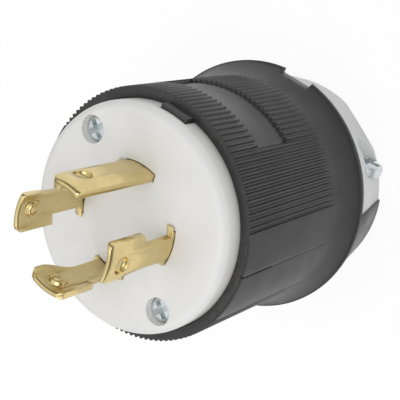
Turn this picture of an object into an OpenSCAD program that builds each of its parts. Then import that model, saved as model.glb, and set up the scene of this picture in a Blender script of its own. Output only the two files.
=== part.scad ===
// Four-blade locking plug with a ribbed housing and a two-jaw cord clamp.
// Millimetres, +Z up. The plug stands on its cord end, so the blades point up.
// The origin is the centre of the rear face, on the axis of the cord passage.

/* [Housing] */
// Diameter over the finger ribs
body_d = 57.4; // [56:0.2:60]
// Length from the rear edge of the flange to the front rim
housing_len = 46.5; // [44:0.5:54]
// Wall between the ribs and the bore
wall = 2.6; // [2.4:0.1:3]
// Number of rib places round the body
rib_count = 126; // [96:2:140]
// Height of a rib above its groove
rib_h = 0.55; // [0.4:0.05:0.7]
// Share of the rib pitch that a rib fills at its foot
rib_fill = 0.8; // [0.5:0.01:0.85]
// Angle from a parting line to the edge of its plain band on the key's side
band_near = 19.6; // [14:0.1:26]
// Angle from a parting line to the other edge of its plain band
band_far = 25.3; // [14:0.1:30]
// Diameter of the rear flange
flange_d = 64.2; // [62:0.2:67]
// Length of the hollow flare between body and flange
flare_len = 12.3; // [9:0.1:14]
// Thickness of the square edge of the flange
flange_edge = 1.1; // [0.8:0.1:2]
// Thickness of the wall across the rear of the housing
web_t = 4; // [4:0.5:6]
// Angle of the key, the bare pad and the flange notch about the axis
index_angle = 265; // [255:1:280]
// Half the angle of the bare sunken pad
pad_half = 31; // [20:1:36]
// Length of the pad along the axis
pad_len = 12.3; // [8:0.1:16]
// Distance from the front rim to the pad
pad_setback = 11; // [8:0.5:14]
// Depth of the pad below the rib tops
pad_depth = 0.95; // [0.7:0.05:1.2]
// Width of the notch in the flange
notch_w = 8.4; // [5:0.1:11]
// Depth of the notch in the flange
notch_depth = 1.5; // [0.8:0.1:2]
// Width of the key that locks the face in the housing
key_w = 7; // [4:0.1:9]
// Height of the key above the front rim
key_h = 3; // [2:0.1:3.4]

/* [Face] */
// Height of the face above the front rim
face_h = 5.6; // [5:0.1:7]
// Radius of the rounded edge of the face
face_round = 2.2; // [1:0.1:2.2]
// Depth of the face insulator inside the housing
face_depth = 9; // [7:0.5:12]

/* [Blades] */
// Radius of the outer side of the blades
blade_r = 13.5; // [12.5:0.1:14.5]
// Thickness of the blade metal
blade_t = 1.6; // [1.2:0.1:1.8]
// Height of the line blades above the face
blade_h = 20.5; // [19:0.1:22]
// Height of the ground blade above the face
ground_h = 23.9; // [22.5:0.1:25]
// Height of the locking hooks above the face
hook_h = 9.8; // [8:0.1:11]
// Width of the neck of a line blade
neck_w = 5.4; // [5:0.1:6]
// Reach of a locking hook past the neck
hook_w = 2.2; // [1.5:0.1:2.6]
// Width of the ground blade
ground_w = 7.9; // [7:0.1:9]
// Reach of the ground blade's inner lug
lug_reach = 1.9; // [1:0.1:2.4]
// Diameter of the detent pressed into each blade
detent_d = 4; // [2.6:0.1:4.2]
// Depth of the detent
detent_depth = 1.2; // [0.6:0.1:1.3]
// Length of a blade's tail behind the face insulator
tail_len = 15; // [13:0.5:18]
// Width of a blade's tail
tail_w = 8; // [6:0.1:8.4]

/* [Terminals] */
// Length of the terminal block
block_len = 22; // [20:0.5:24]
// Diameter of a terminal screw
terminal_d = 4; // [3.5:0.1:4.4]
// Gap for the wire between blade tail and clamp plate
wire_gap = 3; // [2:0.1:3.4]
// Thickness of a clamp plate
plate_t = 1.5; // [1.2:0.1:2]

/* [Cord clamp] */
// Length of the clamp behind the housing
clamp_len = 20.6; // [18:0.1:24]
// Thickness of the ring that joins the clamp to the housing
ring_t = 1.1; // [0.8:0.1:2]
// Diameter of the clamp where it leaves the ring
clamp_d = 62.8; // [60:0.2:64]
// Taper of the clamp's radius over its length
clamp_taper = 3.7; // [1.5:0.1:4.5]
// Radius of the clamp's rounded rear edge
clamp_round = 2; // [1:0.1:3]
// Distance from the axis to the face where the jaws meet
seam_y = 5.8; // [4:0.1:8]
// Travel of the upper jaw when it is screwed down
jaw_drop = 1; // [0.5:0.1:2.5]
// Diameter of the cord passage between the jaws
cord_d = 22; // [18:0.5:24]
// Diameter of the hole in the rubber cord seal
seal_d = 15.6; // [14:0.2:17]
// Wall left round the core pockets in the jaws
jaw_wall = 2.4; // [1.8:0.1:3]
// Number of gripping ridges on each jaw
ridge_count = 3; // [2:1:4]
// Height of a gripping ridge
ridge_h = 1.2; // [0.6:0.1:1.6]
// Distance from the side of the clamp to each clamp screw
clamp_screw_inset = 8.7; // [8:0.1:10]
// Distance from the rear face to the clamp screws
clamp_screw_z = 7.5; // [6.5:0.1:10]
// Diameter of a clamp screw
clamp_screw_d = 4.2; // [3.5:0.1:5]
// Diameter of a clamp screw's head
clamp_head_d = 8.4; // [7:0.1:8.6]
// Height of a clamp screw's head
clamp_head_h = 2.7; // [2:0.1:3]
// Distance from the axis plane to the seat of the clamp screw heads
head_seat_y = 13.3; // [12:0.1:15]

/* [Assembly screws] */
// Radius on which the two assembly screws stand
screw_circle_r = 21; // [20.5:0.1:21.2]
// Diameter of an assembly screw
screw_d = 3.4; // [3:0.1:4]
// Diameter of its head
screw_head_d = 5.8; // [5.4:0.1:6.6]
// Depth of its head below the face
screw_sink = 1.4; // [0.1:0.1:2.4]
// Width across the flats of its nut
nut_af = 7; // [6:0.1:7.4]

/* [Fits] */
// Clearance between a moulding and the piece in it
fit = 0.12; // [0.08:0.01:0.2]
// Clearance of a screw in a plain hole
screw_fit = 0.2; // [0.1:0.05:0.3]

/* [Hidden] */
$fn = 96;
eps = 0.02;

crest_r = body_d / 2;
groove_r = crest_r - rib_h;
bore_r = crest_r - wall;
flange_r = flange_d / 2;
flare_r = flange_r - 0.2;
flare_rise = flare_r - groove_r;
flare_arc_r = (flare_len * flare_len + flare_rise * flare_rise) / (2 * flare_rise);
rib_pitch = 360 / rib_count;
rib_foot = rib_pitch * PI / 180 * crest_r * rib_fill;
rib_sink = 0.3;
flange_break = 0.12;
parting_w = 0.34;
parting_len = 12;
key_inset = 0.7;
key_root = 4;

house_z = clamp_len;
rim_z = house_z + housing_len;
web_z = house_z + web_t;
body_start = house_z + flange_edge + flare_len;
rib_start = body_start - flare_len * 0.65;
face_z = rim_z + face_h;
face_back = rim_z - face_depth;
block_z = face_back - block_len;
tail_z = face_back - tail_len;
face_r = bore_r - fit;

blade_in_r = blade_r - blade_t;
blade_foot = face_z + 0.2;
shoulder_z = face_z + 0.75;
hook_z = face_z + hook_h;
tip_break = 1.1;
detent_z = face_z + blade_h - 4;
ground_corner = 2.6;
lug_w = 1.5;

// Edge curves of the blades, as (share of the height above the face, share of the width) pairs
line_back = [[0.97, 0.176], [0.756, 0.14], [0.575, 0.03], [0.38, 0],
    [0.166, 0.02], [0.098, 0.11], [0.056, 0.2]];
ground_root = [[0.067, 0.127], [0.1255, 0.044], [0.1925, 0]];
// The sweep of the neutral blade's rear edge: at its foot, at its tip, and where it starts and ends
neutral_foot = 0.6;
neutral_tip = 3.1;
neutral_from = 8;
neutral_to = 17;
terminal_z = tail_z + 4.5;
terminal_head_d = terminal_d + 3;
terminal_head_h = 2.2;
tail_room = 0.4;
plate_x = blade_in_r - wire_gap - plate_t;
plate_w = tail_w - 0.6;
plate_h = 8;

shell_z = house_z - ring_t;
spigot_r = 15.4;
cord_r = cord_d / 2;
seal_r = seal_d / 2;
screw_x = clamp_d / 2 - clamp_screw_inset;
clamp_nut_y = 7;
core_depth = shell_z - 3;
core_half = 7.5;
lower_cores = [60, 80, 100, 120];
upper_cores = [-100, -80];
flat_angle = 33.6;
flat_r = clamp_d / 2 - 5.9;
clamp_nut_h = 3.2;
clamp_nut_af = clamp_screw_d + 3.6;
clamp_screw_len = head_seat_y + clamp_nut_y + clamp_nut_h + 1;
screw_angles = [135, -45];
nut_h = 2.6;
post_r = nut_af / 2 + 1;
head_h = 1.8;
screw_len = face_z - screw_sink - head_h - house_z - 0.4;

function polar(r, a) = [r * cos(a), r * sin(a)];
function lerp(a, b, t) = a + (b - a) * t;
function ease(t) = t <= 0 ? 0 : t >= 1 ? 1 : (1 - cos(180 * t)) / 2;

// A sector of a tube, its middle on the +X side
module sector(r_in, r_out, half, h)
    rotate(-half) rotate_extrude(angle = 2 * half) translate([r_in, 0]) square([r_out - r_in, h]);

// A cross recess whose arms narrow towards the bottom
module drive(head_d, depth) {
    w = head_d * 0.22;
    reach = head_d * 0.37;
    for (a = [0, 90]) rotate([90, 0, a]) translate([0, 0, -w / 2])
        linear_extrude(w) polygon([[-reach, eps], [reach, eps], [reach * 0.45, -depth],
            [-reach * 0.45, -depth]]);
    translate([0, 0, -depth / 2]) rotate(45) cube([w * 1.3, w * 1.3, depth + eps], center = true);
}

// A pan-head screw along Z, its head resting on z = 0 and its shank below
module pan_screw(d, len, head_d, head_h, drive_depth) {
    crown = head_h * 0.4;
    difference() {
        union() {
            rotate_extrude() polygon([[0, 0], [head_d / 2, 0], [head_d / 2, head_h - crown],
                [head_d / 2 - crown * 0.35, head_h - crown * 0.35], [head_d / 2 - crown, head_h],
                [0, head_h]]);
            rotate_extrude() polygon([[0, eps], [d / 2, eps], [d / 2, 0.6 - len], [d / 2 - 0.6, -len],
                [0, -len]]);
        }
        translate([0, 0, head_h]) drive(head_d, drive_depth);
    }
}

// A hexagon nut on z = 0 with its threaded hole
module hex_nut(af, h, d) difference() {
    rotate(30) cylinder(d = af / cos(30), h = h, $fn = 6);
    translate([0, 0, -eps]) cylinder(d = d, h = h + 2 * eps);
}

// ---- housing ----

module housing_form() rotate_extrude() difference() {
    union() {
        translate([0, house_z]) square([groove_r, housing_len]);
        difference() {
            translate([0, house_z]) square([flare_r, flange_edge + flare_len]);
            translate([groove_r + flare_arc_r - eps, body_start]) circle(r = flare_arc_r, $fn = 180);
        }
        translate([0, house_z]) polygon([[0, 0], [flange_r - flange_break, 0], [flange_r, flange_break],
            [flange_r, flange_edge - flange_break], [flange_r - flange_break, flange_edge],
            [0, flange_edge]]);
    }
    translate([-eps, web_z]) square([bore_r + eps, housing_len]);
    translate([-eps, house_z - 1]) square([spigot_r + fit + eps, housing_len]);
}

// Whether an angle lies in the plain band along a parting line
function in_band(a) =
    let(from_key = abs((a + 270) % 360 - 180))
    from_key > 90 - band_near && from_key < 90 + band_far;

// One rib in outline, (half angle, radius) pairs mirrored about its middle; its foot is sunk in the body
function rib_half(f) =
    [[f * 1.1, groove_r - rib_sink], [f * 0.55, groove_r + rib_h * 0.6], [f * 0.26, crest_r]];

// All the ribs as one toothed outline
function rib_teeth() =
    let(half = rib_half(rib_foot / 2 / crest_r * 180 / PI))
    [for (i = [0:rib_count - 1]) let(a = (i + 0.5) * rib_pitch)
        each in_band(a) ? [polar(groove_r - rib_sink, a)] :
            concat([for (p = half) polar(p[1], a - p[0])],
                [for (k = [2:-1:0]) polar(half[k][1], a + half[k][0])])];

module rib_field() {
    inner = bore_r + 0.5;
    difference() {
        translate([0, 0, rib_start]) linear_extrude(rim_z - rib_start) polygon(rib_teeth());
        translate([0, 0, rib_start - 1]) cylinder(r = inner, h = housing_len);
    }
    for (s = [0, 1]) mirror([s, 0, 0]) rotate((band_far - band_near) / 2) translate([0, 0, rib_start])
        sector(inner, crest_r, (band_near + band_far) / 2, rim_z - rib_start);
}

module pad_cut() rotate(index_angle) translate([0, 0, rim_z - pad_setback - pad_len])
    sector(crest_r - pad_depth, crest_r + 1, pad_half, pad_len);

module notch_cut() rotate(index_angle) translate([flange_r - notch_depth, -notch_w / 2, -1])
    cube([notch_depth * 2, notch_w, house_z + flange_edge + 3]);

// The parting line: a groove behind the rim, and a fine seam along the rest of the body
module parting_cut(a) rotate(a) {
    translate([crest_r - 0.5, -parting_w / 2, rim_z - parting_len]) cube([1, parting_w, parting_len + 1]);
    translate([crest_r - 0.15, -parting_w / 3, body_start - 4])
        cube([1, parting_w / 1.5, rim_z - body_start]);
}

module key(clear = 0) rotate(index_angle)
    translate([bore_r - key_inset - clear, -key_w / 2 - clear, rim_z - key_root - clear])
    cube([key_inset * 2 + clear, key_w + 2 * clear, key_root + key_h + 2 * clear]);

module housing() color("#3c3a3a") difference() {
    union() {
        housing_form();
        rib_field();
        key();
        for (a = screw_angles) rotate(a) translate([screw_circle_r, 0, web_z - 1])
            cylinder(r = post_r, h = block_z - web_z + 1);
    }
    pad_cut();
    notch_cut();
    for (a = [0, 180]) parting_cut(a);
    for (a = screw_angles) rotate(a) translate([screw_circle_r, 0, 0]) {
        translate([0, 0, house_z - 1]) cylinder(d = screw_d + 2 * screw_fit, h = block_z - house_z + 2);
        translate([0, 0, house_z - eps]) rotate(30)
            cylinder(d = (nut_af + 2 * fit) / cos(30), h = nut_h + eps, $fn = 6);
    }
}

// ---- face ----

module blade_slot(w) intersection() {
    difference() {
        cylinder(r = blade_r + fit, h = face_z + 1);
        translate([0, 0, -1]) cylinder(r = blade_in_r - fit, h = face_z + 3);
    }
    translate([0, -w / 2 - fit, 0]) cube([blade_r + 2, w + 2 * fit, face_z + 1]);
}

module front_face() color("#dcdcd9") difference() {
    rotate_extrude() union() {
        translate([0, face_back]) square([face_r, face_z - face_round - face_back]);
        translate([0, face_back]) square([face_r - face_round, face_z - face_back]);
        translate([face_r - face_round, face_z - face_round]) circle(r = face_round);
    }
    key(clear = fit);
    for (a = [0, 90, 180, 270]) rotate(a) blade_slot(tail_w);
    for (a = screw_angles) rotate(a) translate([screw_circle_r, 0, 0]) {
        translate([0, 0, face_back - 1]) cylinder(d = screw_d + 2 * screw_fit, h = face_depth + face_h + 2);
        translate([0, 0, face_z - screw_sink - head_h]) cylinder(d = screw_head_d + 2 * screw_fit, h = 5);
    }
}

// ---- blades ----

// A blade stamped from a curved plate: the tube's profile leaves the tip chamfered
module blade_plate(outline, tip) intersection() {
    rotate_extrude() polygon([[blade_in_r, tail_z], [blade_r, tail_z],
        [blade_r, tip - tip_break], [blade_r - tip_break / 2, tip],
        [blade_in_r + tip_break / 3, tip], [blade_in_r, tip - tip_break / 2]]);
    rotate([90, 0, 90]) linear_extrude(blade_r + 2) polygon(outline);
}

// A detent's round punch mark, grown by wall on the side that it stands out of
module detent_form(grow = 0) rotate([0, 90, 0]) rotate_extrude()
    polygon([[0, -1], [detent_d / 2 + grow, -1], [detent_d / 2 + grow, 0],
        [detent_d * 0.43 + grow, detent_depth * 0.8], [detent_d * 0.33 + grow, detent_depth],
        [0, detent_depth]]);

module detent_cut(z, y) translate([blade_r, y, z]) mirror([1, 0, 0]) detent_form();

module detent_bump(z, y) translate([blade_in_r + 0.1, y, z]) mirror([1, 0, 0]) intersection() {
    detent_form(0.1);
    translate([-0.5, -detent_d, -detent_d]) cube(2 * detent_d);
}

// Outline of a line blade in (across, up); the hook is on the +across side
function line_outline() =
    let(n = neck_w / 2, h = n + hook_w, top = face_z + blade_h, cut = tip_break / 3)
    concat([[-tail_w / 2, tail_z], [tail_w / 2, tail_z], [tail_w / 2, blade_foot], [h, blade_foot],
            [h, shoulder_z], [n, shoulder_z], [n, hook_z], [h, hook_z], [h, top - tip_break],
            [h - cut, top - cut], [h - tip_break, top], [-n - tip_break / 2, top]],
        [for (p = line_back) [-n - p[1] * neck_w, face_z + p[0] * blade_h]],
        [[-n - neck_w * 0.35, blade_foot], [-tail_w / 2, blade_foot]]);

module line_blade() color("#d2bd78") difference() {
    union() {
        blade_plate(line_outline(), face_z + blade_h);
        detent_bump(detent_z, 0);
    }
    detent_cut(detent_z, 0);
    tail_hole();
}

module tail_hole() translate([0, 0, terminal_z]) rotate([0, 90, 0])
    cylinder(d = terminal_d + 2 * screw_fit, h = blade_r + 5);

// The neutral blade's rear edge sweeps out in a curve towards its tip
function neutral_edge(z) =
    let(along = ease((z - face_z - neutral_from) / (neutral_to - neutral_from)))
    -neck_w / 2 - lerp(neutral_foot, neutral_tip, along);

function neutral_outline() =
    let(n = neck_w / 2 - 0.6, h = n + 1.7, top = face_z + blade_h - 0.3, foot = -tail_w / 2 - 0.3)
    concat([[-tail_w / 2, tail_z], [tail_w / 2, tail_z], [tail_w / 2, shoulder_z], [n, shoulder_z],
            [n, hook_z], [h, hook_z], [h, top - tip_break], [h - tip_break, top],
            [neutral_edge(top) + 2, top], [neutral_edge(top) + 0.7, top - 0.6]],
        [for (z = [top - 1.6:-1:face_z + 2]) [neutral_edge(z), z]],
        [[neutral_edge(face_z), shoulder_z], [foot, shoulder_z], [foot, blade_foot],
            [-tail_w / 2, blade_foot]]);

module neutral_blade() color("#d2bd78") rotate(90) difference() {
    union() {
        blade_plate(neutral_outline(), face_z + blade_h - 0.3);
        detent_bump(detent_z - 0.4, -0.8);
    }
    detent_cut(detent_z - 0.4, -0.8);
    tail_hole();
}

function ground_outline() =
    let(w = ground_w / 2, top = face_z + ground_h, r = ground_corner)
    concat([[-tail_w / 2, tail_z], [tail_w / 2, tail_z], [tail_w / 2, blade_foot],
            [w + ground_w * 0.24, blade_foot]],
        [for (p = ground_root) [w + p[1] * ground_w, face_z + p[0] * ground_h]],
        [for (a = [0:18:90]) [w - r + r * cos(a), top - r + r * sin(a)]],
        [[0.5 - w, top], [-w, top - 0.5], [-w, blade_foot], [-tail_w / 2, blade_foot]]);

module ground_blade() color("#d2bd78") rotate(270) difference() {
    union() {
        blade_plate(ground_outline(), face_z + ground_h);
        detent_bump(detent_z + 0.8, 1.1);
        translate([blade_in_r - lug_reach, ground_w / 2 - lug_w - 0.4, hook_z + 2])
            cube([lug_reach + blade_t / 2, lug_w, ground_h - hook_h - 3.6]);
    }
    detent_cut(detent_z + 0.8, 1.1);
    tail_hole();
}

module line_blade_x() rotate(0) line_blade();
module line_blade_y() rotate(180) line_blade();

// ---- terminals ----

module clamp_plate() color("#b9b4a4") translate([plate_x, 0, terminal_z]) difference() {
    translate([0, -plate_w / 2, -plate_h / 2]) cube([plate_t, plate_w, plate_h]);
    translate([-1, 0, 0]) rotate([0, 90, 0]) cylinder(d = terminal_d, h = plate_t + 2);
}

module clamp_plate_ground() rotate(270) clamp_plate();
module clamp_plate_neutral() rotate(90) clamp_plate();
module clamp_plate_x() rotate(0) clamp_plate();
module clamp_plate_y() rotate(180) clamp_plate();

module terminal_screw() translate([blade_r, 0, terminal_z]) rotate([0, 90, 0])
    pan_screw(terminal_d - fit, blade_r - plate_x + 0.8, terminal_head_d, terminal_head_h, 1.1);

module terminal_screw_ground() color("#3f7d4e") rotate(270) terminal_screw();
module terminal_screw_neutral() color("#c9cccb") rotate(90) terminal_screw();
module terminal_screw_x() color("#c9a95a") rotate(0) terminal_screw();
module terminal_screw_y() color("#c9a95a") rotate(180) terminal_screw();

module terminal_block() color("#2f2e2f") difference() {
    slot_x = plate_x - 2 * tail_room;
    translate([0, 0, block_z]) cylinder(r = face_r, h = block_len);
    for (a = [0, 90, 180, 270]) rotate(a) {
        translate([slot_x, -tail_w / 2 - tail_room, block_z - 1])
            cube([blade_r + 0.15 - slot_x, tail_w + 2 * tail_room, block_len + 2]);
        translate([blade_r, 0, terminal_z]) rotate([0, 90, 0]) cylinder(d = terminal_head_d + 1, h = bore_r);
    }
    for (a = screw_angles) rotate(a) translate([screw_circle_r, 0, block_z - 1])
        cylinder(d = screw_d + 2 * screw_fit, h = block_len + 2);
}

// ---- assembly screws ----

module assembly_screw(a) color("#c8d0d0") rotate(a)
    translate([screw_circle_r, 0, face_z - screw_sink - head_h])
    pan_screw(screw_d - fit, screw_len, screw_head_d, head_h, head_h - 0.1);

module assembly_nut(a) color("#b8bdbd") rotate(a) translate([screw_circle_r, 0, house_z])
    hex_nut(nut_af, nut_h - fit, screw_d);

module assembly_screw_a() assembly_screw(screw_angles[0]);
module assembly_screw_b() assembly_screw(screw_angles[1]);
module assembly_nut_a() assembly_nut(screw_angles[0]);
module assembly_nut_b() assembly_nut(screw_angles[1]);

// ---- cord clamp ----

function clamp_r(z) = clamp_d / 2 - clamp_taper * (shell_z - z) / shell_z;

module jaw_form(shrink) rotate_extrude() difference() {
    union() {
        polygon([[0, clamp_round], [clamp_r(clamp_round) - shrink, clamp_round],
            [clamp_d / 2 - shrink, shell_z], [0, shell_z]]);
        square([clamp_r(0) - shrink - clamp_round, clamp_round + eps]);
        translate([clamp_r(clamp_round) - shrink - clamp_round, clamp_round]) circle(r = clamp_round);
    }
    translate([-1, -1]) square([cord_r + 1, shell_z + 2]);
}

// A core pocket up from the rear face, following the jaw's outer wall
module core_pocket(mid, half) rotate(mid - half) rotate_extrude(angle = 2 * half)
    polygon([[cord_r + jaw_wall, -1], [clamp_r(0) - jaw_wall - 0.5, -1],
        [clamp_r(core_depth) - jaw_wall, core_depth], [cord_r + jaw_wall, core_depth]]);

// Rounded-off mouth of the cord passage at the rear face
module passage_mouth() rotate_extrude()
    polygon([[0, -1], [cord_r + 1.8, -1], [cord_r, 0.8], [0, 0.8]]);

module ridges() for (i = [0:ridge_count - 1]) translate([0, 0, shell_z * (i + 0.5) / ridge_count])
    rotate_extrude() polygon([[cord_r + 0.5, -ridge_h - 0.2], [cord_r + 0.5, ridge_h + 0.2],
        [cord_r - ridge_h, ridge_h / 4], [cord_r - ridge_h, -ridge_h / 4]]);

module jaw_screw_hole() translate([0, 0, clamp_screw_z]) rotate([90, 0, 0])
    cylinder(r = clamp_screw_d / 2 + screw_fit, h = 2 * clamp_d, center = true);

module lower_jaw() color("#474546") difference() {
    union() {
        intersection() {
            union() { jaw_form(0); ridges(); }
            translate([-clamp_d, -seam_y, -1]) cube([2 * clamp_d, 2 * clamp_d, shell_z + 1 + eps]);
        }
        translate([0, 0, shell_z]) cylinder(r = clamp_d / 2 - 1.6, h = ring_t);
        translate([0, 0, house_z - eps]) cylinder(r = spigot_r, h = web_t + eps);
    }
    translate([0, 0, shell_z - eps]) cylinder(r = cord_r + 2, h = web_t + ring_t + 1);
    notch_cut();
    passage_mouth();
    for (a = lower_cores) core_pocket(a, core_half);
    for (s = [-1, 1]) translate([s * screw_x, 0, 0]) {
        jaw_screw_hole();
        translate([0, clamp_nut_y, clamp_screw_z]) rotate([-90, 0, 0]) rotate(30)
            cylinder(d = (clamp_nut_af + 2 * fit) / cos(30), h = clamp_d, $fn = 6);
    }
}

module upper_jaw() color("#d6d6d6") difference() {
    translate([0, jaw_drop, 0]) intersection() {
        union() { jaw_form(0.3); ridges(); }
        translate([-clamp_d, -seam_y - jaw_drop - clamp_d, -1]) cube([2 * clamp_d, clamp_d, shell_z + 1]);
    }
    for (s = [-1, 1]) {
        translate([s * screw_x, 0, 0]) {
            jaw_screw_hole();
            head_pocket(s);
        }
        jaw_flat(s);
    }
    translate([0, jaw_drop, 0]) {
        passage_mouth();
        for (a = upper_cores) core_pocket(a, core_half);
    }
}

// The flat that takes the jaw's round down to each screw head, leaning with the jaw's taper
module jaw_flat(side) rotate(-90 + side * flat_angle) translate([flat_r, 0, 0])
    rotate([0, asin(clamp_taper / shell_z), 0]) translate([0, -clamp_d / 2, -2])
    cube([clamp_d / 4, clamp_d, shell_z + 4]);

// Pocket for a clamp screw head, open to the side
module head_pocket(side) translate([0, -head_seat_y, clamp_screw_z]) {
    r = clamp_head_d / 2 + 0.6;
    rotate([90, 0, 0]) cylinder(r = r, h = clamp_d);
    translate([side > 0 ? 0 : -clamp_d, -clamp_d, -r]) cube([clamp_d, clamp_d, 2 * r]);
}

module jaw_screw(side) color("#c8d0d0") translate([side * screw_x, -head_seat_y, clamp_screw_z])
    rotate([90, 0, 0]) pan_screw(clamp_screw_d - fit, clamp_screw_len, clamp_head_d, clamp_head_h, 1.6);

module jaw_nut(side) color("#b8bdbd") translate([side * screw_x, clamp_nut_y, clamp_screw_z])
    rotate([-90, 0, 0]) hex_nut(clamp_nut_af, clamp_nut_h, clamp_screw_d);

module jaw_screw_left() jaw_screw(-1);
module jaw_screw_right() jaw_screw(1);
module jaw_nut_left() jaw_nut(-1);
module jaw_nut_right() jaw_nut(1);

// A rubber ring in the spigot, its lip resting on the spigot's end
module cord_seal() color("#242424") rotate_extrude() let(r = cord_r + 2, lip = r + 1.4, lip_h = 1.5)
    polygon([[seal_r, shell_z], [r - fit, shell_z], [r - fit, web_z], [lip, web_z],
        [lip, web_z + lip_h], [seal_r + 2, web_z + lip_h], [seal_r, web_z]]);

housing();
front_face();
terminal_block();
ground_blade();
neutral_blade();
line_blade_x();
line_blade_y();
clamp_plate_ground();
clamp_plate_neutral();
clamp_plate_x();
clamp_plate_y();
terminal_screw_ground();
terminal_screw_neutral();
terminal_screw_x();
terminal_screw_y();
assembly_screw_a();
assembly_screw_b();
assembly_nut_a();
assembly_nut_b();
cord_seal();
lower_jaw();
upper_jaw();
jaw_screw_left();
jaw_screw_right();
jaw_nut_left();
jaw_nut_right();
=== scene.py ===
import math

import bmesh
import bpy
from mathutils import Matrix, Vector


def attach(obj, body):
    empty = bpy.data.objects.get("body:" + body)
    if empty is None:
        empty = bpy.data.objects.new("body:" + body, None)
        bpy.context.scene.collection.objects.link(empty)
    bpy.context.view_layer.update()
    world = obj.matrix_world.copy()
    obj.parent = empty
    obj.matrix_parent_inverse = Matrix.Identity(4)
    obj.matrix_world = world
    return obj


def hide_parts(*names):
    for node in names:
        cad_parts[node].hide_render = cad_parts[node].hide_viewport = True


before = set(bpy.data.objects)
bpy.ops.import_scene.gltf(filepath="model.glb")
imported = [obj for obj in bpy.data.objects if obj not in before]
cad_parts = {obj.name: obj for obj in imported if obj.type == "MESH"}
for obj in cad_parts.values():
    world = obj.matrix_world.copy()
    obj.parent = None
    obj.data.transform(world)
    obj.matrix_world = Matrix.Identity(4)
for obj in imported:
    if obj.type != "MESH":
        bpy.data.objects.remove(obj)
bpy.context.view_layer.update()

mm = 0.001


# the camera comes first: an angle round the plug, a height and a roll, as a hand-held product shot

shot = {
    "azimuth": -139.93,  # degrees round the plug's axis
    "elevation": 53.92,  # degrees above the floor
    "roll": -105.76,  # the blades point to the lower left
    "distance": 235.8 * mm,
    "target": (-0.2 * mm, 0.2 * mm, 44.0 * mm),
    "lens": 88.33,  # millimetres, on a frame 36 mm wide
    "frameWidth": 36,
    "nearest": 5 * mm,
}


def awayFrom(target, azimuth, elevation, distance):  # a place out there, and the way to it
    a, e = math.radians(azimuth), math.radians(elevation)
    way = Vector((math.cos(e) * math.cos(a), math.cos(e) * math.sin(a), math.sin(e)))
    return Vector(target) + way * distance, way


def setCamera():
    data = bpy.data.cameras.new("camera")
    data.lens = shot["lens"]
    data.sensor_width = shot["frameWidth"]
    data.clip_start = shot["nearest"]
    camera = bpy.data.objects.new("camera", data)
    place, way = awayFrom(shot["target"], shot["azimuth"], shot["elevation"], shot["distance"])
    turn = way.to_track_quat("Z", "Y").to_matrix().to_4x4()
    roll = Matrix.Rotation(math.radians(shot["roll"]), 4, "Z")
    camera.matrix_world = Matrix.Translation(place) @ turn @ roll
    bpy.context.collection.objects.link(camera)
    bpy.context.scene.camera = camera


setCamera()
print("camera set")


# node helpers


def addNode(tree, kind, **settings):
    node = tree.nodes.new(kind)
    for name, value in settings.items():
        setattr(node, name, value)
    return node


def feed(tree, socket, value):  # a link from another node, or a plain value
    if isinstance(value, bpy.types.NodeSocket):
        tree.links.new(value, socket)
    elif value is not None:
        socket.default_value = value


def calc(tree, operation, first, second=None, third=None, clamp=False):
    node = addNode(tree, "ShaderNodeMath", operation=operation, use_clamp=clamp)
    for socket, value in zip(node.inputs, (first, second, third)):
        feed(tree, socket, value)
    return node.outputs[0]


def mixColour(tree, factor, first, second):
    node = addNode(tree, "ShaderNodeMix", data_type="RGBA")
    feed(tree, node.inputs["Factor"], factor)
    feed(tree, node.inputs[6], first)
    feed(tree, node.inputs[7], second)
    return node.outputs[2]


def noise(tree, place, scale, detail=3.0, roughness=0.5):
    node = addNode(tree, "ShaderNodeTexNoise")
    feed(tree, node.inputs["Vector"], place)
    feed(tree, node.inputs["Scale"], scale)
    feed(tree, node.inputs["Detail"], detail)
    feed(tree, node.inputs["Roughness"], roughness)
    return node.outputs["Fac"]


def spread(tree, value, low, high, newLow=0.0, newHigh=1.0):
    node = addNode(tree, "ShaderNodeMapRange")
    feed(tree, node.inputs["Value"], value)
    ends = {"From Min": low, "From Max": high, "To Min": newLow, "To Max": newHigh}
    for socket, number in ends.items():
        feed(tree, node.inputs[socket], number)
    return node.outputs["Result"]


def newGroup(name, ins, outs):
    tree = bpy.data.node_groups.new(name, "ShaderNodeTree")
    for label, value in ins.items():
        kind = "NodeSocketColor" if isinstance(value, tuple) else "NodeSocketFloat"
        tree.interface.new_socket(name=label, in_out="INPUT", socket_type=kind).default_value = value
    for label, kind in outs.items():
        tree.interface.new_socket(name=label, in_out="OUTPUT", socket_type=kind)
    return tree, tree.nodes.new("NodeGroupInput"), tree.nodes.new("NodeGroupOutput")


def placeGroup(tree, group, **values):  # roughLow feeds the socket "Rough low", and so on
    node = addNode(tree, "ShaderNodeGroup", node_tree=group)
    for name, value in values.items():
        label = "".join(" " + c if c.isupper() else c for c in name).strip().capitalize()
        feed(tree, node.inputs[label], value)
    return node


# shared effects


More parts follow.
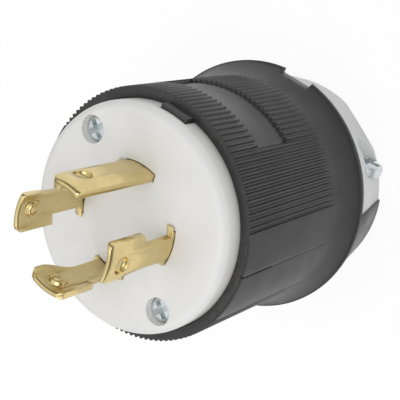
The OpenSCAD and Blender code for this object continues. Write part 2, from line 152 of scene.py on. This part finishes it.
def makeMouldGrain():  # the fine grain of a mould, with slow changes of colour and gloss
    ins = {"Grain": 5200.0, "Depth": 1.0, "Blotch": 140.0, "Colour": (0.5, 0.5, 0.5, 1.0),
           "Shade": (0.4, 0.4, 0.4, 1.0), "Rough low": 0.4, "Rough high": 0.5}
    outs = {"Colour": "NodeSocketColor", "Roughness": "NodeSocketFloat", "Height": "NodeSocketFloat"}
    tree, start, end = newGroup("mouldGrain", ins, outs)
    place = addNode(tree, "ShaderNodeTexCoord").outputs["Object"]
    fine = noise(tree, place, start.outputs["Grain"], 2.0, 0.6)
    broad = noise(tree, place, start.outputs["Blotch"], 4.0, 0.55)
    flow = spread(tree, broad, 0.32, 0.68)
    colour = mixColour(tree, flow, start.outputs["Colour"], start.outputs["Shade"])
    tree.links.new(colour, end.inputs["Colour"])
    gap = calc(tree, "SUBTRACT", start.outputs["Rough high"], start.outputs["Rough low"])
    rough = calc(tree, "MULTIPLY_ADD", flow, gap, start.outputs["Rough low"])
    tree.links.new(rough, end.inputs["Roughness"])
    tree.links.new(calc(tree, "MULTIPLY", fine, start.outputs["Depth"]), end.inputs["Height"])
    return tree


def makeEdgeWearAndHighlight():  # a mask of broken patches along sharp edges: wear on the nylons, and on the metals a painted highlight with some wear
    ins = {"From": 0.52, "To": 0.62, "Break up": 900.0}
    tree, start, end = newGroup("edgeWearAndHighlight", ins, {"Mask": "NodeSocketFloat"})
    geometry = addNode(tree, "ShaderNodeNewGeometry")
    place = addNode(tree, "ShaderNodeTexCoord").outputs["Object"]
    edge = spread(tree, geometry.outputs["Pointiness"], start.outputs["From"], start.outputs["To"])
    patches = spread(tree, noise(tree, place, start.outputs["Break up"], 3.0, 0.6), 0.35, 0.6)
    tree.links.new(calc(tree, "MULTIPLY", edge, patches, clamp=True), end.inputs["Mask"])
    return tree


mouldGrain = makeMouldGrain()
edgeWearAndHighlight = makeEdgeWearAndHighlight()


# materials


def newMaterial(name):
    material = bpy.data.materials.new(name)
    material.use_nodes = True
    tree = material.node_tree
    tree.nodes.clear()
    shader = addNode(tree, "ShaderNodeBsdfPrincipled")
    out = addNode(tree, "ShaderNodeOutputMaterial")
    tree.links.new(shader.outputs[0], out.inputs[0])
    return material, tree, shader


def bumpFrom(tree, shader, height, strength, distance):
    bump = addNode(tree, "ShaderNodeBump")
    bump.inputs["Strength"].default_value = strength
    bump.inputs["Distance"].default_value = distance
    tree.links.new(height, bump.inputs["Height"])
    tree.links.new(bump.outputs["Normal"], shader.inputs["Normal"])


nylonWear = 0.35  # how far a worn edge goes to its own colour
nylonBump = 0.03 * mm

nylons = {
    "blackNylon": {
        "colour": (0.0135, 0.0122, 0.0126, 1),
        "shade": (0.0105, 0.0096, 0.0099, 1),
        "worn": (0.07, 0.067, 0.065, 1),
        "rough": (0.36, 0.46),
        "grain": 5200.0,
        "depth": 0.9,
        "bump": 0.25,
        "specular": 0.72,
    },
    "whiteNylon": {
        "colour": (0.78, 0.78, 0.765, 1),
        "shade": (0.75, 0.75, 0.735, 1),
        "worn": (0.82, 0.82, 0.81, 1),
        "rough": (0.36, 0.44),
        "grain": 4200.0,
        "depth": 0.6,
        "bump": 0.12,
        "specular": 0.45,
    },
    "greyWhiteNylon": {
        "colour": (0.70, 0.70, 0.70, 1),
        "shade": (0.66, 0.66, 0.66, 1),
        "worn": (0.78, 0.78, 0.78, 1),
        "rough": (0.40, 0.50),
        "grain": 4600.0,
        "depth": 0.8,
        "bump": 0.2,
        "specular": 0.45,
    },
    "blockPlastic": {
        "colour": (0.030, 0.030, 0.032, 1),
        "shade": (0.024, 0.024, 0.026, 1),
        "worn": (0.05, 0.05, 0.05, 1),
        "rough": (0.35, 0.45),
        "grain": 4000.0,
        "depth": 0.7,
        "bump": 0.2,
        "specular": 0.5,
    },
    "sealRubber": {
        "colour": (0.020, 0.020, 0.020, 1),
        "shade": (0.026, 0.025, 0.024, 1),
        "worn": (0.045, 0.043, 0.04, 1),
        "rough": (0.62, 0.78),
        "grain": 3000.0,
        "depth": 1.0,
        "bump": 0.35,
        "specular": 0.35,
    },
}


def makeNylon(name):
    values = nylons[name]
    material, tree, shader = newMaterial(name)
    low, high = values["rough"]
    given = {name: values[name] for name in ("grain", "depth", "colour", "shade")}
    grain = placeGroup(tree, mouldGrain, roughLow=low, roughHigh=high, **given)
    edgeMask = placeGroup(tree, edgeWearAndHighlight)
    share = calc(tree, "MULTIPLY", edgeMask.outputs["Mask"], nylonWear)
    colour = mixColour(tree, share, grain.outputs["Colour"], values["worn"])
    tree.links.new(colour, shader.inputs["Base Color"])
    tree.links.new(grain.outputs["Roughness"], shader.inputs["Roughness"])
    shader.inputs["Specular IOR Level"].default_value = values["specular"]
    bumpFrom(tree, shader, grain.outputs["Height"], values["bump"], nylonBump)
    return material


metalTarnish = 0.5  # how far the dull patches go to the tarnished colour
metalPatches = 260.0
metalBump = 0.02 * mm

# edge is the colour that sharp edges go to: brighter than the metal, a painted highlight along with
# some edge wear
metals = {
    "brass": {
        "colour": (0.70, 0.565, 0.275, 1),
        "tarnish": (0.60, 0.475, 0.22, 1),
        "edge": (0.90, 0.75, 0.40, 1),
        "rough": (0.15, 0.25),
        "bump": 0.08,
        "brush": 1600.0,
    },
    "brassScrew": {
        "colour": (0.66, 0.49, 0.21, 1),
        "tarnish": (0.52, 0.38, 0.16, 1),
        "edge": (0.80, 0.62, 0.3, 1),
        "rough": (0.22, 0.36),
        "bump": 0.15,
        "brush": 1800.0,
    },
    "zincSteel": {
        "colour": (0.68, 0.73, 0.74, 1),
        "tarnish": (0.50, 0.56, 0.58, 1),
        "edge": (0.84, 0.88, 0.88, 1),
        "rough": (0.24, 0.40),
        "bump": 0.2,
        "brush": 1800.0,
    },
    "zincNut": {
        "colour": (0.58, 0.61, 0.62, 1),
        "tarnish": (0.44, 0.47, 0.48, 1),
        "edge": (0.76, 0.78, 0.78, 1),
        "rough": (0.28, 0.44),
        "bump": 0.2,
        "brush": 1800.0,
    },
    "nickelSteel": {
        "colour": (0.68, 0.67, 0.64, 1),
        "tarnish": (0.52, 0.51, 0.48, 1),
        "edge": (0.82, 0.81, 0.79, 1),
        "rough": (0.2, 0.34),
        "bump": 0.15,
        "brush": 1800.0,
    },
    "plateSteel": {
        "colour": (0.56, 0.55, 0.50, 1),
        "tarnish": (0.42, 0.41, 0.37, 1),
        "edge": (0.72, 0.70, 0.66, 1),
        "rough": (0.26, 0.42),
        "bump": 0.2,
        "brush": 1500.0,
    },
    "greenSteel": {
        "colour": (0.06, 0.27, 0.10, 1),
        "tarnish": (0.04, 0.19, 0.07, 1),
        "edge": (0.22, 0.40, 0.24, 1),
        "rough": (0.26, 0.40),
        "bump": 0.2,
        "brush": 1800.0,
    },
}


def makeMetal(name):
    values = metals[name]
    material, tree, shader = newMaterial(name)
    place = addNode(tree, "ShaderNodeTexCoord").outputs["Object"]
    broad = spread(tree, noise(tree, place, metalPatches, 4.0, 0.6), 0.35, 0.65)
    fine = noise(tree, place, values["brush"], 5.0, 0.65)
    edgeMask = placeGroup(tree, edgeWearAndHighlight)
    dull = calc(tree, "MULTIPLY", broad, metalTarnish)
    base = mixColour(tree, dull, values["colour"], values["tarnish"])
    # sharp edges go to the edge colour: a painted highlight, with some edge wear
    colour = mixColour(tree, edgeMask.outputs["Mask"], base, values["edge"])
    tree.links.new(colour, shader.inputs["Base Color"])
    blend = calc(tree, "MULTIPLY_ADD", fine, 0.5, broad)
    rough = spread(tree, blend, 0.2, 0.75, *values["rough"])
    tree.links.new(rough, shader.inputs["Roughness"])
    shader.inputs["Metallic"].default_value = 1.0
    bumpFrom(tree, shader, fine, values["bump"], metalBump)
    return material


materials = {name: makeNylon(name) for name in nylons}
materials.update({name: makeMetal(name) for name in metals})
print("materials made")


# CAD pieces that stay, and the finish of each

finishes = {
    "blackNylon": ["housing", "lower_jaw"],
    "whiteNylon": ["front_face"],
    "greyWhiteNylon": ["upper_jaw"],
    "blockPlastic": ["terminal_block"],
    "sealRubber": ["cord_seal"],
    "brass": ["ground_blade", "neutral_blade", "line_blade_x", "line_blade_y"],
    "brassScrew": ["terminal_screw_x", "terminal_screw_y"],
    "greenSteel": ["terminal_screw_ground"],
    "nickelSteel": ["terminal_screw_neutral"],
    "plateSteel": ["clamp_plate_ground", "clamp_plate_neutral", "clamp_plate_x", "clamp_plate_y"],
    "zincSteel": ["assembly_screw_a", "assembly_screw_b", "jaw_screw_left", "jaw_screw_right"],
    "zincNut": ["assembly_nut_a", "assembly_nut_b", "jaw_nut_left", "jaw_nut_right"],
}

for finish, nodes in finishes.items():
    for node in nodes:
        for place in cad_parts[node].material_slots:
            place.material = materials[finish]
print("CAD pieces finished")


# broken edges: each visible moulding and stamping gets its edges rounded on a copy of its own solid

bladeEdge = {"edge": 0.16 * mm, "sharp": 32, "finish": "brass"}
rounding = {
    "housing": {"edge": 0.10 * mm, "sharp": 32, "finish": "blackNylon"},
    "front_face": {"edge": 0.14 * mm, "sharp": 40, "finish": "whiteNylon"},
    "lower_jaw": {"edge": 0.18 * mm, "sharp": 40, "finish": "blackNylon"},
    "upper_jaw": {"edge": 0.18 * mm, "sharp": 40, "finish": "greyWhiteNylon"},
    "ground_blade": bladeEdge,
    "neutral_blade": bladeEdge,
    "line_blade_x": bladeEdge,
    "line_blade_y": bladeEdge,
}
cleaning = {
    "merge": 0.002 * mm,  # points closer than this are one
    "speck": 0.001 * mm,  # edges shorter than this go
    "flat": 0.6,  # degrees: faces flatter to each other than this are one
    "crease": 38,  # degrees: edges sharper than this stay sharp in the shading
}


def roundedCopy(node, values):
    shape = bmesh.new()
    shape.from_mesh(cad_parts[node].data)
    bmesh.ops.remove_doubles(shape, verts=shape.verts, dist=cleaning["merge"])
    bmesh.ops.dissolve_degenerate(shape, dist=cleaning["speck"], edges=shape.edges)
    bmesh.ops.dissolve_limit(shape, angle_limit=math.radians(cleaning["flat"]),
                             verts=shape.verts, edges=shape.edges, delimit=set())
    least = math.radians(values["sharp"])
    between = [edge for edge in shape.edges if len(edge.link_faces) == 2]
    sharp = [edge for edge in between if edge.calc_face_angle(0) > least]
    bmesh.ops.bevel(shape, geom=sharp, offset=values["edge"], offset_type="OFFSET", segments=2,
                    profile=0.5, affect="EDGES", clamp_overlap=False, material=-1)
    bmesh.ops.triangulate(shape, faces=[f for f in shape.faces if len(f.verts) > 4])
    mesh = bpy.data.meshes.new(node + "_moulded")
    shape.to_mesh(mesh)
    shape.free()
    mesh.materials.clear()
    mesh.materials.append(materials[values["finish"]])
    for face in mesh.polygons:
        face.use_smooth = True
    mesh.set_sharp_from_angle(angle=math.radians(cleaning["crease"]))
    piece = bpy.data.objects.new(node + "_finished", mesh)
    bpy.context.collection.objects.link(piece)
    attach(piece, "root")
    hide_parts(node)
    return piece


for node, values in rounding.items():
    piece = roundedCopy(node, values)
    print("edges rounded:", node, len(piece.data.polygons), "faces")


# floor, world and lamps

light = {
    "floorSize": 3,  # metres from its middle to its sides
    "floorColour": (0.94, 0.94, 0.94, 1),
    "shadowKept": 0.10,  # share of the floor's own shading that the camera sees
    "rise": (0.2, 0.8),  # heights on the unit sky between which the tent goes from dim to bright
    "horizon": 0.18,  # world strength below them
    "zenith": 1.02,  # and above
    "middle": (0, 0, 50 * mm),  # what the lamps point at
    "key": {"azimuth": -165, "elevation": 60, "distance": 1.2, "size": 0.9, "power": 3.2},
    "side": {"azimuth": 120, "elevation": 25, "distance": 0.7, "size": 0.45, "power": 0.6},
}


def seenDirectly(tree):  # camera, mirror and glass rays see the plain white background
    path = addNode(tree, "ShaderNodeLightPath")
    some = calc(tree, "MAXIMUM", path.outputs["Is Camera Ray"], path.outputs["Is Glossy Ray"])
    return calc(tree, "MAXIMUM", some, path.outputs["Is Transmission Ray"])


def makeFloor():
    shape = bmesh.new()
    bmesh.ops.create_grid(shape, x_segments=1, y_segments=1, size=light["floorSize"])
    mesh = bpy.data.meshes.new("floor")
    shape.to_mesh(mesh)
    shape.free()
    floor = bpy.data.objects.new("floor", mesh)
    bpy.context.collection.objects.link(floor)
    material = bpy.data.materials.new("floorPaper")
    material.use_nodes = True
    tree = material.node_tree
    tree.nodes.clear()
    seen = seenDirectly(tree)
    paper = addNode(tree, "ShaderNodeBsdfDiffuse")
    colour = mixColour(tree, seen, light["floorColour"], (1, 1, 1, 1))
    tree.links.new(colour, paper.inputs["Color"])
    white = addNode(tree, "ShaderNodeEmission")
    mix = addNode(tree, "ShaderNodeMixShader")
    tree.links.new(calc(tree, "MULTIPLY", seen, 1 - light["shadowKept"]), mix.inputs[0])
    tree.links.new(paper.outputs[0], mix.inputs[1])
    tree.links.new(white.outputs[0], mix.inputs[2])
    tree.links.new(mix.outputs[0], addNode(tree, "ShaderNodeOutputMaterial").inputs[0])
    mesh.materials.append(material)


def makeWorld():  # a white light tent: bright above, dim round its foot, and plain white to the camera
    world = bpy.data.worlds.new("studio")
    bpy.context.scene.world = world
    world.use_nodes = True
    tree = world.node_tree
    back = tree.nodes["Background"]
    back.inputs["Color"].default_value = (1, 1, 1, 1)
    split = addNode(tree, "ShaderNodeSeparateXYZ")
    way = addNode(tree, "ShaderNodeTexCoord").outputs["Generated"]
    tree.links.new(way, split.inputs[0])
    tent = spread(tree, split.outputs["Z"], *light["rise"], light["horizon"], light["zenith"])
    camera = addNode(tree, "ShaderNodeLightPath").outputs["Is Camera Ray"]
    tree.links.new(calc(tree, "MAXIMUM", camera, tent), back.inputs["Strength"])


def makeLamp(name):
    values = light[name]
    data = bpy.data.lights.new(name, "AREA")
    data.shape = "DISK"
    data.size = values["size"]
    data.energy = values["power"]
    lamp = bpy.data.objects.new(name, data)
    place, way = awayFrom(light["middle"], values["azimuth"], values["elevation"], values["distance"])
    turn = way.to_track_quat("Z", "Y").to_matrix().to_4x4()
    lamp.matrix_world = Matrix.Translation(place) @ turn
    bpy.context.collection.objects.link(lamp)


makeFloor()
makeWorld()
makeLamp("key")
makeLamp("side")
bpy.context.scene.view_settings.view_transform = "Standard"
print("floor, world and lamps set")
